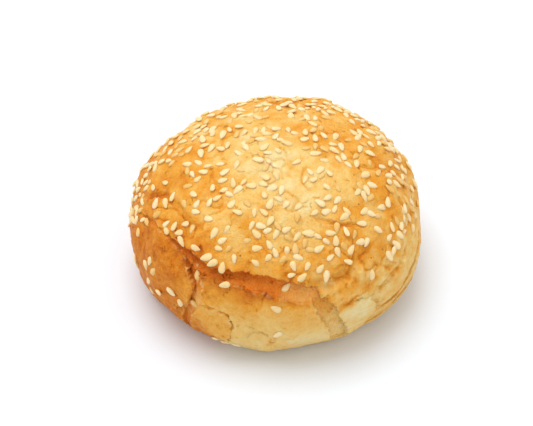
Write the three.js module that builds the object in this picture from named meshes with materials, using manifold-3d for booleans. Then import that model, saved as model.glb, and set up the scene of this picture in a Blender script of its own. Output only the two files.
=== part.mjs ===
// A round sesame bread roll, baked on a flat tray. The crust is a domed, slightly uneven round
// that burst along its front shoulder in the oven: a wide tear with two gaps running down from it
// leaves a loose apron of crust at the front. Sesame seeds are baked onto the dome.
// Millimetres, +Z up, origin at the middle of the flat underside, the burst facing -Y.
// Places on the crust are an azimuth (0 at +X, 90 at +Y) and a latitude (90 at the crown,
// 0 at the widest level, -90 at the edge of the flat underside), both in degrees.
import * as THREE from 'three';
import { mergeVertices } from 'three/addons/utils/BufferGeometryUtils.js';
import Module from 'manifold-3d';

// Driving dimensions of the roll
const ROLL_WIDTH = 96;
const ROLL_HEIGHT = 56;
const WAIST_HEIGHT = 20;
const FOOT_RADIUS = 36;
const DOME_FULLNESS = 2.15;
const SIDE_FULLNESS = 2.05;

// Unevenness of the plan: a long way and a three-cornered way, as shares of the radius
const OVAL = { share: 0.027, azimuth: 22 };
const THREE_CORNERED = { share: 0.02, azimuth: 68 };
const CROWN_LEAN = { x: -1, y: -1 };
const FOOT_SHIFT = { x: 1.15, y: -0.4 };

// Soft lumps of the crust, as waves that cross each other
const LUMPS = [
  { height: 0.28, spacing: 21, way: [0.9, 0.4, -0.2], start: 1 },
  { height: 0.26, spacing: 17, way: [-0.4, 0.9, -0.3], start: 2 },
  { height: 0.22, spacing: 14, way: [0.5, -0.3, 0.8], start: 0.5 },
  { height: 0.16, spacing: 11, way: [-0.7, -0.6, 0.4], start: 3 },
];

// Broad swells and hollows of single places: [azimuth, latitude, reach, height]
const SWELLS = [
  [338, -10, 11, 1.1], [358, 14, 9, -0.8], [75, 62, 16, -1.1], [252, -42, 12, 0.8],
  [228, -34, 10, -1.0], [300, -38, 10, -0.8], [165, 34, 12, 0.7], [12, 42, 12, 1.5],
  [300, 33, 7, 0.8], [218, 13, 9, 0.6], [242, -12, 7, 1.0], [296, 15, 5, 0.8],
];

// The crust is left undisturbed close to the foot, so that the underside stays flat
const FOOT_CALM = { from: -86, to: -52 };

// Sesame seeds
const SEED_LENGTH = 3.5;
const SEED_WIDTH = 1.95;
const SEED_STANDS = 0.6;
const SEED_SUNK = 0.15;
const SEED_TAPER = 0.35;
const SEED_SIDES = 6;
const SEED_SIZE_SPREAD = 0.16;
const SEED_GAP = 2.4;
const SEED_COUNT = 600;
const SEED_CLUMPING = 0.3;
const CLUMP_REACH = 1.6;
const LOWEST_SEED = -20;
const SHALLOW_TEAR = 0.5;
const SEEDS_IN_RELIEF = 160;
const SEED_DRAW = 20417;

// Facets of the crust: columns round it, closer together at the front, and rows down it
const COLUMNS = 72;
const FRONT_CROWDING = 0.45;
const ROW_BANDS = [
  { from: 90, to: 52, rows: 7 },
  { from: 52, to: 8, rows: 17 },
  { from: 8, to: -90, rows: 10 },
];
const UNDERSIDE_SHARES = [0.5, 0];
const COURSE_STEPS = 48;

const FRONT = 270;
const WAIST_RADIUS = ROLL_WIDTH / 2;

// Tears in the crust. Each follows a few places [azimuth, latitude, half width, depth], with a wall
// on its upper and its lower side; a wide wall is a gentle slope.
// "Upper" is the left-hand side of the way along the tear.
const TEARS = [
  {
    name: 'burst', upperWall: 0.6, lowerWall: 0.6,
    places: [[219, 33, 0.3, 0.6], [224.5, 29.5, 1.2, 1.6], [230, 28.2, 2.6, 2.4], [235, 27.6, 2.3, 2.6],
      [241, 26.6, 1.7, 2.7], [247, 26.4, 2.2, 2.9], [253, 26.1, 2.9, 3.0], [260, 25.3, 3.4, 2.9],
      [267, 24.6, 3.5, 2.6], [273, 22.6, 3.5, 2.4], [279, 20.5, 3.5, 2.1], [285, 18.8, 2.6, 1.8]],
  },
  {
    name: 'left gap', upperWall: 1.4, lowerWall: 0.5,
    places: [[232.8, 21, 2.6, 1.8], [235, 16.5, 1.9, 1.6], [236.2, 10.5, 2.0, 1.4], [234.8, 3.5, 2.2, 1.4],
      [232, -6, 1.6, 1.5], [230.5, -14, 1.7, 1.4], [229, -27, 1.7, 1.2], [227.5, -48, 1.4, 0.7]],
  },
  {
    name: 'right gap', upperWall: 0.4, lowerWall: 0.9,
    places: [[285.5, 18, 1.6, 1.8], [287.5, 12, 2.5, 2.2], [289.7, 6, 3.1, 2.2], [292, -2, 2.9, 2.0],
      [294.3, -15, 3.0, 1.6], [296.5, -40, 2.8, 0.8]],
  },
  {
    name: 'left fold', upperWall: 2.6, lowerWall: 0.9,
    places: [[182, 22, 0.2, 0.4], [191, 33.5, 0.4, 0.9], [197, 40.5, 0.5, 1.0], [207, 43.8, 0.5, 0.9],
      [217, 42.8, 0.5, 0.8], [225, 41.5, 0.2, 0.4]],
  },
  {
    name: 'left crease', upperWall: 0.8, lowerWall: 1.2,
    places: [[188, 21.5, 0.2, 0.3], [195, 25.5, 0.3, 0.5], [204, 29.6, 0.3, 0.5], [213, 31.5, 0.3, 0.6],
      [222, 30, 0.4, 0.8]],
  },
  {
    name: 'right shoulder', upperWall: 2.2, lowerWall: 2.8,
    places: [[285, 23.8, 0.6, 1.5], [291, 23.2, 0.7, 1.8], [297, 24.2, 0.8, 2.0], [303, 27, 0.8, 1.7],
      [307, 31.5, 0.6, 1.1], [309.5, 38, 0.3, 0.4]],
  },
  {
    name: 'dome crack', upperWall: 1.2, lowerWall: 0.7,
    places: [[296, 54, 0.2, 0.4], [301, 51, 0.35, 0.9], [307, 47, 0.4, 1.0], [313, 44.5, 0.3, 0.8],
      [319, 41, 0.2, 0.3]],
  },
  {
    name: 'right plate', upperWall: 0.5, lowerWall: 1.6,
    places: [[354, 14, 0.2, 0.2], [344, 13.5, 0.3, 0.4], [333.5, 13, 0.3, 0.4], [325, 10, 0.3, 0.5],
      [317, 6.5, 0.3, 0.8], [308, 7.2, 0.3, 1.2], [300, 9, 0.3, 1.3], [294, 6.5, 0.3, 1.0]],
  },
  {
    name: 'plate end', upperWall: 2.5, lowerWall: 0.4,
    places: [[308.5, 5, 0.2, 0.7], [312, -3, 0.4, 1.2], [311.5, -14, 0.4, 1.2], [308, -27, 0.3, 0.8]],
  },
  {
    name: 'right skirt', upperWall: 0.5, lowerWall: 2.4,
    places: [[352, 0, 0.2, 0.4], [346, -9, 0.3, 0.9], [338, -19, 0.3, 1.1], [328.5, -29, 0.3, 1.1],
      [318, -37, 0.3, 1.0], [310, -38, 0.3, 0.5]],
  },
  {
    name: 'side layer', upperWall: 0.4, lowerWall: 2.0,
    places: [[349, 6, 0.2, 0.3], [340, 2, 0.3, 0.7], [331, -4, 0.3, 0.8], [322, -12, 0.3, 0.8],
      [314, -17, 0.2, 0.5]],
  },
  {
    name: 'apron lobe', upperWall: 3.0, lowerWall: 0.6,
    places: [[238.5, 7, 0.2, 0.4], [243, 5, 0.3, 0.9], [248, 1, 0.3, 1.1], [252, -6, 0.3, 1.1],
      [252.5, -18, 0.3, 0.9], [251, -32, 0.2, 0.3]],
  },
];

// Seeded crust reaches down to these latitudes, round the roll
const SEEDED_DOWN_TO = [
  { azimuth: 0, latitude: 8 }, { azimuth: 90, latitude: -4 }, { azimuth: 180, latitude: -6 },
  { azimuth: 192, latitude: 6 }, { azimuth: 202, latitude: 26 }, { azimuth: 226, latitude: 30 },
  { azimuth: 240, latitude: 28 }, { azimuth: 267, latitude: 26 }, { azimuth: 284, latitude: 24 },
  { azimuth: 297, latitude: 27 }, { azimuth: 310, latitude: 29 }, { azimuth: 322, latitude: 20 },
  { azimuth: 340, latitude: 14 }, { azimuth: 360, latitude: 8 },
];
const SEEDED_FADE = 12;

// Single seeds in the tears, along the lips, on the flaps and on the apron, as [azimuth, latitude]
const STRAY_SEEDS = [
  [273.5, 22.5], [234.5, 21], [247.5, 21], [269, 12], [269.5, -9.5], [228, -1], [235, 3], [242, -47],
  [246.5, -48], [251, -49], [237, 33], [240.5, 31.5], [245, 31], [280.5, 29], [291, 27], [222, 33.5],
  [198, -9], [208.5, 6], [211, 11.5], [214, 8], [217.5, -3.5], [224, 3.5], [210, -6], [311, 18],
  [322.5, 20], [325.5, 20.5], [328.5, 22], [333, 23.5], [337, 26], [342, 22.5],
];

const { degToRad: radians, radToDeg: degrees, smoothstep, lerp } = THREE.MathUtils;

// The plain form: a superelliptic dome over a superelliptic side that turns in to the foot.
function formPoint(azimuth, latitude) {
  const turn = radians(azimuth);
  const across = Math.abs(Math.cos(radians(latitude)));
  const along = Math.abs(Math.sin(radians(latitude)));
  const onDome = latitude >= 0;
  const radius = onDome
    ? WAIST_RADIUS * across ** (2 / DOME_FULLNESS)
    : FOOT_RADIUS + (WAIST_RADIUS - FOOT_RADIUS) * across ** (2 / SIDE_FULLNESS);
  const height = onDome
    ? WAIST_HEIGHT + (ROLL_HEIGHT - WAIST_HEIGHT) * along ** (2 / DOME_FULLNESS)
    : WAIST_HEIGHT - WAIST_HEIGHT * along ** (2 / SIDE_FULLNESS);
  const plan = 1 + OVAL.share * Math.cos(2 * (turn - radians(OVAL.azimuth)))
    + THREE_CORNERED.share * Math.cos(3 * (turn - radians(THREE_CORNERED.azimuth)));
  const lean = (height / ROLL_HEIGHT) ** 2;
  return new THREE.Vector3(
    radius * plan * Math.cos(turn) + CROWN_LEAN.x * lean + FOOT_SHIFT.x,
    radius * plan * Math.sin(turn) + CROWN_LEAN.y * lean + FOOT_SHIFT.y,
    height,
  );
}

// The outward direction of the plain form, from neighbouring points on it.
function formNormal(azimuth, latitude) {
  const step = 0.2;
  if (latitude > 90 - step) return new THREE.Vector3(0, 0, 1);
  const low = Math.max(latitude - step, -90);
  const east = formPoint(azimuth + step, latitude).sub(formPoint(azimuth - step, latitude));
  const north = formPoint(azimuth, latitude + step).sub(formPoint(azimuth, low));
  return east.cross(north).normalize();
}

// A tear's course over the crust, sampled: where it runs, which way is its upper side, how wide and deep.
function tearCourse({ places }) {
  const points = places.map(([azimuth, latitude]) => formPoint(azimuth, latitude));
  const curve = new THREE.CatmullRomCurve3(points, false, 'catmullrom', 0.5);
  const course = [];
  for (let i = 0; i <= COURSE_STEPS; i++) {
    const along = (i / COURSE_STEPS) * (places.length - 1);
    const k = Math.min(Math.floor(along), places.length - 2);
    const [from, to] = [places[k], places[k + 1]];
    const mid = along - k;
    const normal = formNormal(lerp(from[0], to[0], mid), lerp(from[1], to[1], mid));
    const tangent = curve.getTangent(i / COURSE_STEPS);
    course.push({
      point: curve.getPoint(i / COURSE_STEPS),
      upper: normal.cross(tangent).normalize(),
      halfWidth: lerp(from[2], to[2], mid),
      depth: lerp(from[3], to[3], mid),
    });
  }
  return course;
}

const courses = TEARS.map(tearCourse);

// How deep one tear is below a point of the plain form.
function tearDepth(tear, course, point) {
  let nearest = course[0];
  let distance = Infinity;
  for (const sample of course) {
    const away = point.distanceTo(sample.point);
    if (away < distance) [nearest, distance] = [sample, away];
  }
  const isUpper = point.clone().sub(nearest.point).dot(nearest.upper) > 0;
  const wall = isUpper ? tear.upperWall : tear.lowerWall;
  return nearest.depth * (1 - smoothstep(distance - nearest.halfWidth, 0, wall));
}

// The tears together: where two meet, the deeper one shows.
function allTears(point) {
  return Math.max(...TEARS.map((tear, i) => tearDepth(tear, courses[i], point)));
}

// Height of the soft lumps and of the single swells and hollows.
function lumps(point) {
  let rise = 0;
  for (const { height, spacing, way, start } of LUMPS) {
    const along = point.dot(new THREE.Vector3(...way));
    rise += height * Math.sin((2 * Math.PI * along) / spacing + start);
  }
  for (const [azimuth, latitude, reach, height] of SWELLS) {
    const apart = point.distanceTo(formPoint(azimuth, latitude));
    rise += height * Math.exp(-((apart / reach) ** 2));
  }
  return rise;
}

// The real crust: the plain form with its lumps and tears.
function crustPoint(azimuth, latitude) {
  const point = formPoint(azimuth, latitude);
  const calm = smoothstep(latitude, FOOT_CALM.from, FOOT_CALM.to);
  const rise = calm * (lumps(point) - allTears(point));
  return point.addScaledVector(formNormal(azimuth, latitude), rise);
}

// Latitudes of the rows of facets, from the crown to the edge of the foot.
function rowLatitudes() {
  const latitudes = [ROW_BANDS[0].from];
  for (const { from, to, rows } of ROW_BANDS) {
    for (let i = 1; i <= rows; i++) latitudes.push(lerp(from, to, i / rows));
  }
  return latitudes;
}

// The crust's facets: a sphere's columns and rows, moved onto the roll.
function crustGeometry() {
  const latitudes = rowLatitudes();
  const rows = latitudes.length - 1 + UNDERSIDE_SHARES.length;
  const geometry = new THREE.SphereGeometry(1, COLUMNS, rows);
  const position = geometry.getAttribute('position');
  for (let row = 0; row <= rows; row++) {
    for (let column = 0; column <= COLUMNS; column++) {
      const even = (360 * (column % COLUMNS)) / COLUMNS;
      const crowding = FRONT_CROWDING * Math.sin(radians(even - FRONT));
      const azimuth = even - degrees(crowding);
      const point = row < latitudes.length
        ? crustPoint(azimuth, latitudes[row])
        : formPoint(azimuth, -90).multiplyScalar(UNDERSIDE_SHARES[row - latitudes.length]);
      position.setXYZ(row * (COLUMNS + 1) + column, point.x, point.y, point.z);
    }
  }
  return geometry;
}

// A repeatable draw of numbers from 0 to 1.
function seededDraw(seed) {
  let state = seed;
  return () => {
    state = (Math.imul(state, 1664525) + 1013904223) >>> 0;
    return state / 2 ** 32;
  };
}

// How thickly the crust is seeded at a place, from 0 to 1.
function seeding(azimuth, latitude) {
  const next = SEEDED_DOWN_TO.findIndex((place) => place.azimuth > azimuth);
  const [from, to] = [SEEDED_DOWN_TO[next - 1], SEEDED_DOWN_TO[next]];
  const share = (azimuth - from.azimuth) / (to.azimuth - from.azimuth);
  const lowest = lerp(from.latitude, to.latitude, share);
  return smoothstep(latitude, lowest, lowest + SEEDED_FADE);
}

// Where a thrown seed lands: beside one that lies there already, or anywhere on the dome.
function landing(draw, seeds) {
  const clumps = draw() < SEED_CLUMPING;
  const first = draw();
  const second = draw();
  if (!clumps) {
    const lowest = Math.sin(radians(LOWEST_SEED));
    return { azimuth: 360 * first, latitude: degrees(Math.asin(lerp(lowest, 1, second))) };
  }
  const near = seeds[Math.floor(first * seeds.length)];
  const reach = degrees((SEED_GAP * lerp(1, CLUMP_REACH, draw())) / WAIST_RADIUS);
  const turn = 2 * Math.PI * second;
  const azimuth = near.azimuth + (reach * Math.cos(turn)) / Math.cos(radians(near.latitude));
  const latitude = Math.min(near.latitude + reach * Math.sin(turn), 90);
  return { azimuth: (azimuth + 360) % 360, latitude };
}

// Seeds thrown at the roll, many in clumps: each stays where the crust is seeded, clear of the
// tears and of the seeds that are already there.
function scatterSeeds() {
  const draw = seededDraw(SEED_DRAW);
  const seeds = STRAY_SEEDS.map(([azimuth, latitude]) => ({
    azimuth,
    latitude,
    spin: 2 * Math.PI * draw(),
    size: 1 + SEED_SIZE_SPREAD,
    point: formPoint(azimuth, latitude),
  }));
  while (seeds.length < SEED_COUNT) {
    const { azimuth, latitude } = landing(draw, seeds);
    const luck = draw();
    const spin = 2 * Math.PI * draw();
    const size = 1 + SEED_SIZE_SPREAD * (2 * draw() - 1);
    const point = formPoint(azimuth, latitude);
    const isClear = seeds.every((seed) => seed.point.distanceTo(point) > SEED_GAP);
    if (luck > seeding(azimuth, latitude) || !isClear || allTears(point) > SHALLOW_TEAR) continue;
    seeds.push({ azimuth, latitude, spin, size, point });
  }
  return seeds;
}

// One seed: a long drop that is slimmer towards its pointed end, its widest part sunk in the crust.
function seedGeometry({ azimuth, latitude, spin, size }) {
  const geometry = new THREE.SphereGeometry(1, SEED_SIDES, 2).rotateX(Math.PI / 2);
  const position = geometry.getAttribute('position');
  for (let i = 0; i < position.count; i++) {
    position.setY(i, position.getY(i) * (1 - SEED_TAPER * position.getX(i)));
  }
  const up = formNormal(azimuth, latitude);
  const depth = SEED_STANDS + SEED_SUNK;
  const spread = (size * depth) / SEED_STANDS / 2;
  geometry.scale(spread * SEED_LENGTH, spread * SEED_WIDTH, depth);
  geometry.rotateZ(spin);
  geometry.applyQuaternion(new THREE.Quaternion().setFromUnitVectors(new THREE.Vector3(0, 0, 1), up));
  const place = crustPoint(azimuth, latitude).addScaledVector(up, -SEED_SUNK);
  return geometry.translate(place.x, place.y, place.z);
}

const wasm = await Module();
wasm.setup();

function toSolid(geometry) {
  geometry.deleteAttribute('normal');
  geometry.deleteAttribute('uv');
  const merged = mergeVertices(geometry);
  return new wasm.Manifold(new wasm.Mesh({
    numProp: 3,
    vertProperties: merged.getAttribute('position').array,
    triVerts: new Uint32Array(merged.index.array),
  }));
}

function toGeometry(solid) {
  const { vertProperties, triVerts } = solid.getMesh();
  const geometry = new THREE.BufferGeometry();
  geometry.setAttribute('position', new THREE.BufferAttribute(vertProperties, 3));
  geometry.setIndex(new THREE.BufferAttribute(triVerts, 1));
  geometry.computeVertexNormals();
  return geometry;
}

// The largest seeds stand in relief on the crust, fused to it.
function rollGeometry() {
  const bySize = scatterSeeds().sort((a, b) => b.size - a.size);
  let roll = toSolid(crustGeometry());
  for (const seed of bySize.slice(0, SEEDS_IN_RELIEF)) roll = roll.add(toSolid(seedGeometry(seed)));
  return toGeometry(roll);
}

const crust = new THREE.MeshStandardMaterial({ color: 0xe6a850, roughness: 0.55, metalness: 0 });
const roll = new THREE.Mesh(rollGeometry(), crust);
roll.name = 'roll';

const bread = new THREE.Group();
bread.add(roll);

export default bread;
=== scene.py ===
import math
from collections import namedtuple

import bmesh
import bpy
import numpy as np
from mathutils import Matrix, Vector, noise


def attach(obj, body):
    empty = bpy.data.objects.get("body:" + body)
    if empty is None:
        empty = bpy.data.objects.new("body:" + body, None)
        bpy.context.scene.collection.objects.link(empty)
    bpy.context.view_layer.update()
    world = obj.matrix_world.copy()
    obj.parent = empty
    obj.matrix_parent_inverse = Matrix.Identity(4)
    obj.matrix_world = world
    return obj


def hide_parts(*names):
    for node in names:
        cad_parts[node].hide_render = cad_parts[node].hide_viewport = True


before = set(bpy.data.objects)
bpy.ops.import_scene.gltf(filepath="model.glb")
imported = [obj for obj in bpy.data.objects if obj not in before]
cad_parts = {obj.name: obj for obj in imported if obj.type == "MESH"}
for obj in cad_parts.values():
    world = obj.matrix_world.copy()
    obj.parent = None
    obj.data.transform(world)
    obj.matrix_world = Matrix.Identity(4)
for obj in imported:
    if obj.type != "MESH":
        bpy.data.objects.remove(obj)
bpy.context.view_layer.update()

MM = 0.001
TINY = 1e-12

# Driving dimensions of the roll
ROLL_WIDTH = 96
ROLL_HEIGHT = 56
WAIST_HEIGHT = 20
FOOT_RADIUS = 36
DOME_FULLNESS = 2.15
SIDE_FULLNESS = 2.05
WAIST_RADIUS = ROLL_WIDTH / 2

# Unevenness of the plan: a long way and a three-cornered way, as (share of the radius, azimuth)
OVAL = (0.027, 22)
THREE_CORNERED = (0.02, 68)
CROWN_LEAN = (-1, -1)
FOOT_SHIFT = (1.15, -0.4)

# Soft lumps of the crust, as waves that cross each other: (height, spacing, way, start)
LUMPS = [
    (0.28, 21, (0.9, 0.4, -0.2), 1),
    (0.26, 17, (-0.4, 0.9, -0.3), 2),
    (0.22, 14, (0.5, -0.3, 0.8), 0.5),
    (0.16, 11, (-0.7, -0.6, 0.4), 3),
]

# Broad swells and hollows of single places: (azimuth, latitude, reach, height)
SWELLS = [
    (338, -10, 11, 1.1), (358, 14, 9, -0.8), (75, 62, 16, -1.1), (252, -42, 12, 0.8),
    (228, -34, 10, -1.0), (300, -38, 10, -0.8), (165, 34, 12, 0.7), (12, 42, 12, 1.5),
    (300, 33, 7, 0.8), (218, 13, 9, 0.6), (242, -12, 7, 1.0), (296, 15, 5, 0.8),
]

# The crust is left undisturbed close to the foot, so that the underside stays flat
FOOT_CALM = (-86, -52)

# Tears in the crust. Each follows a few places (azimuth, latitude, half width, depth), with a wall on
# its upper and its lower side; a wide wall is a gentle slope. "Upper" is the left-hand side of the way
# along it. The floor may be deeper on the upper side, by the share tilt, and the lips may hang over it
# and curl up. Bare says how far the floor is inner dough that the burst laid bare. The floor may be
# painted browner, as painted shade in the groove, and the crust beside the lips may be more or less
# browned than the rest. The lips' edges are painted pale, partly as flaking crust and partly as a
# painted highlight along the lit edge.
Tear = namedtuple("Tear", "places upper_wall lower_wall upper_hang lower_hang curl tilt bare "
                          "floor_tone upper_tone lower_tone tone_reach flaky ragged")
PLAIN_TEAR = Tear([], 0.8, 0.8, 0, 0, 0.1, 0, 0, 0, 0, 0, 2.2, 0, 1)
TEARS = {
    "burst": PLAIN_TEAR._replace(
        places=[(219, 33, 0.3, 0.6), (224.5, 29.5, 1.2, 1.6), (230, 28.2, 2.6, 2.4), (235, 27.6, 2.3, 2.6),
                (241, 26.6, 1.7, 2.7), (247, 26.4, 2.2, 2.9), (253, 26.1, 2.9, 3.0), (260, 25.3, 3.4, 2.9),
                (267, 24.6, 3.5, 2.6), (273, 22.6, 3.5, 2.4), (279, 20.5, 3.5, 2.1), (285, 18.8, 2.6, 1.8)],
        upper_wall=0.6, lower_wall=0.6, upper_hang=1.1, lower_hang=0.5, curl=0.5, tilt=0.5, bare=1,
        lower_tone=0.25, upper_tone=0.08, flaky=0.25, ragged=1.4),
    "left gap": PLAIN_TEAR._replace(
        places=[(232.8, 21, 2.6, 1.8), (235, 16.5, 1.9, 1.6), (236.2, 10.5, 2.0, 1.4),
                (234.8, 3.5, 2.2, 1.4), (232, -6, 1.6, 1.5), (230.5, -14, 1.7, 1.4), (229, -27, 1.7, 1.2),
                (227.5, -48, 1.4, 0.7)],
        upper_wall=0.7, lower_wall=0.5, upper_hang=0.3, lower_hang=0.7, curl=0.5, tilt=-0.45, bare=0.9,
        flaky=0.6, ragged=1.3),
    "right gap": PLAIN_TEAR._replace(
        places=[(285.5, 18, 1.6, 1.8), (287.5, 12, 2.5, 2.2), (289.7, 6, 3.1, 2.2), (292, -2, 2.9, 2.0),
                (294.3, -15, 3.0, 1.6), (296.5, -40, 2.8, 0.8)],
        upper_wall=0.4, lower_wall=0.7, upper_hang=0.5, lower_hang=0.3, curl=0.5, tilt=0.35, bare=0.2,
        floor_tone=0.04, flaky=0.45, ragged=1.4),
    "flap edge": PLAIN_TEAR._replace(
        places=[(225.6, 28, 0.3, 0.7), (228.4, 25, 0.8, 1.5), (231, 21, 1.2, 1.9), (233.2, 16, 1.0, 1.8),
                (234.4, 11, 0.6, 1.4)],
        upper_wall=0.6, lower_wall=0.4, lower_hang=0.5, curl=0.5, tilt=-0.3, bare=0.95,
        flaky=0.6, ragged=1.2),
    "flap hem": PLAIN_TEAR._replace(
        places=[(209, -40, 0.2, 0.3), (220.5, -28, 0.4, 0.9), (227.5, -8, 0.5, 1.1), (231.5, 2, 0.5, 0.9)],
        upper_wall=0.5, lower_wall=3.0, upper_hang=0.6, curl=0.3, flaky=0.3, ragged=1.6),
    "left fold": PLAIN_TEAR._replace(
        places=[(182, 22, 0.2, 0.4), (191, 33.5, 0.4, 0.9), (197, 40.5, 0.5, 1.0), (207, 43.8, 0.5, 0.9),
                (217, 42.8, 0.5, 0.8), (225, 41.5, 0.2, 0.4)],
        upper_wall=2.6, lower_wall=0.9, lower_hang=0.4, floor_tone=0.15, flaky=0.3),
    "left crease": PLAIN_TEAR._replace(
        places=[(188, 21.5, 0.2, 0.3), (195, 25.5, 0.3, 0.5), (204, 29.6, 0.3, 0.5), (213, 31.5, 0.3, 0.6),
                (222, 30, 0.4, 0.8)],
        upper_wall=0.8, lower_wall=1.2, upper_hang=0.4, floor_tone=0.1, flaky=0.2),
    "right shoulder": PLAIN_TEAR._replace(
        places=[(285, 23.8, 0.6, 1.5), (291, 23.2, 0.7, 1.8), (297, 24.2, 0.8, 2.0), (303, 27, 0.8, 1.7),
                (307, 31.5, 0.6, 1.1), (309.5, 38, 0.3, 0.4)],
        upper_wall=2.2, lower_wall=2.8, upper_hang=0.2, curl=0.15),
    "dome crack": PLAIN_TEAR._replace(
        places=[(296, 54, 0.2, 0.4), (301, 51, 0.35, 0.9), (307, 47, 0.4, 1.0), (313, 44.5, 0.3, 0.8),
                (319, 41, 0.2, 0.3)],
        upper_wall=1.2, lower_wall=0.7, floor_tone=0.15, curl=0.2),
    "right plate": PLAIN_TEAR._replace(
        places=[(354, 14, 0.2, 0.2), (344, 13.5, 0.3, 0.4), (333.5, 13, 0.3, 0.4), (325, 10, 0.3, 0.5),
                (317, 6.5, 0.3, 0.6), (308, 7.2, 0.3, 0.6), (300, 9, 0.3, 0.6), (294, 6.5, 0.3, 0.4)],
        upper_wall=0.5, lower_wall=2.6, upper_hang=0.15, curl=0.3, lower_tone=-0.15, tone_reach=4.5,
        flaky=0.4, ragged=1.7),
    "plate end": PLAIN_TEAR._replace(
        places=[(308.5, 5, 0.2, 0.7), (312, -3, 0.4, 1.2), (311.5, -14, 0.4, 1.2), (308, -27, 0.3, 0.8)],
        upper_wall=2.5, lower_wall=0.4, lower_hang=0.5, curl=0.3, floor_tone=0.1, flaky=0.4,
        ragged=1.7),
    "right skirt": PLAIN_TEAR._replace(
        places=[(352, 0, 0.2, 0.4), (346, -9, 0.3, 0.9), (338, -19, 0.3, 1.1), (328.5, -29, 0.3, 1.1),
                (318, -37, 0.3, 1.0), (310, -38, 0.3, 0.5)],
        upper_wall=0.5, lower_wall=2.4, upper_hang=0.6, curl=0.2, floor_tone=0.1, flaky=0.5),
    "side layer": PLAIN_TEAR._replace(
        places=[(349, 6, 0.2, 0.3), (340, 2, 0.3, 0.7), (331, -4, 0.3, 0.8), (322, -12, 0.3, 0.8),
                (314, -17, 0.2, 0.5)],
        upper_wall=0.4, lower_wall=2.0, upper_hang=0.5, curl=0.2, floor_tone=0.1, flaky=0.4),
    "apron lobe": PLAIN_TEAR._replace(
        places=[(239.5, 6, 0.2, 0.3), (244, 6, 0.2, 0.4), (248, 4.5, 0.2, 0.5), (250.5, 0.5, 0.2, 0.5),
                (251, -9.5, 0.2, 0.5), (249.5, -26, 0.2, 0.5)],
        upper_wall=0.9, lower_wall=0.6, lower_hang=0.5, curl=0.4, floor_tone=0.05, upper_tone=-0.1,
        tone_reach=3.5, flaky=0.6, ragged=1.8),
    "apron vein": PLAIN_TEAR._replace(
        places=[(254, 2, 0.1, 0.2), (257, -2, 0.15, 0.4), (260, -4, 0.15, 0.45), (262, -9, 0.15, 0.45),
                (259, -13, 0.15, 0.4), (256, -22, 0.1, 0.2)],
        upper_wall=0.5, lower_wall=0.5, curl=0.2, flaky=0.4, ragged=2.2),
    "apron branch": PLAIN_TEAR._replace(
        places=[(262, -9, 0.15, 0.4), (266, -15, 0.15, 0.45), (267, -24, 0.1, 0.4), (265, -34, 0.1, 0.2)],
        upper_wall=0.5, lower_wall=0.5, curl=0.2, flaky=0.4, ragged=2.2),
}

# Steps along a tear's course for laying the seeds and for the relief, and how far its lips reach.
# Walls narrower than the steep one are made sheerer.
SEEDING_STEPS = 48
RELIEF_STEPS = 160
LIP_REACH = 3.2
STEEP_WALL = 1.0
SHEERNESS = 1.6

# Random waves over the crust: the size of their features (one number, or one for each way), octaves and
# start, the height that they give the crust, how they change its browning, and how smooth they are
Waves = namedtuple("Waves", "feature octaves start height tone smoothness", defaults=(0, 0, 1.0))
FINER_EACH_OCTAVE = 2.0

# Ragged edges of the tears, in a coarse and a fine part, and how unevenly their lips hang
RAGGED = [Waves(2.6, 2, 61, height=0.55), Waves(0.9, 2, 61, height=0.22)]
LIP_UNEVENNESS = Waves(3.5, 2, 71, height=0.8)

# Pale flaking and painted highlights along the edges: where they come, how far up a tear's wall, and how
# wide
FLAKE_AND_HIGHLIGHT_WAVES = Waves(1.6, 2, 81)
FLAKE_AND_HIGHLIGHT_COME = (0.0, 0.35)
FLAKE_AND_HIGHLIGHT_WALL_SHARE = 0.8
FLAKE_AND_HIGHLIGHT_WIDTH = 0.35

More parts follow.
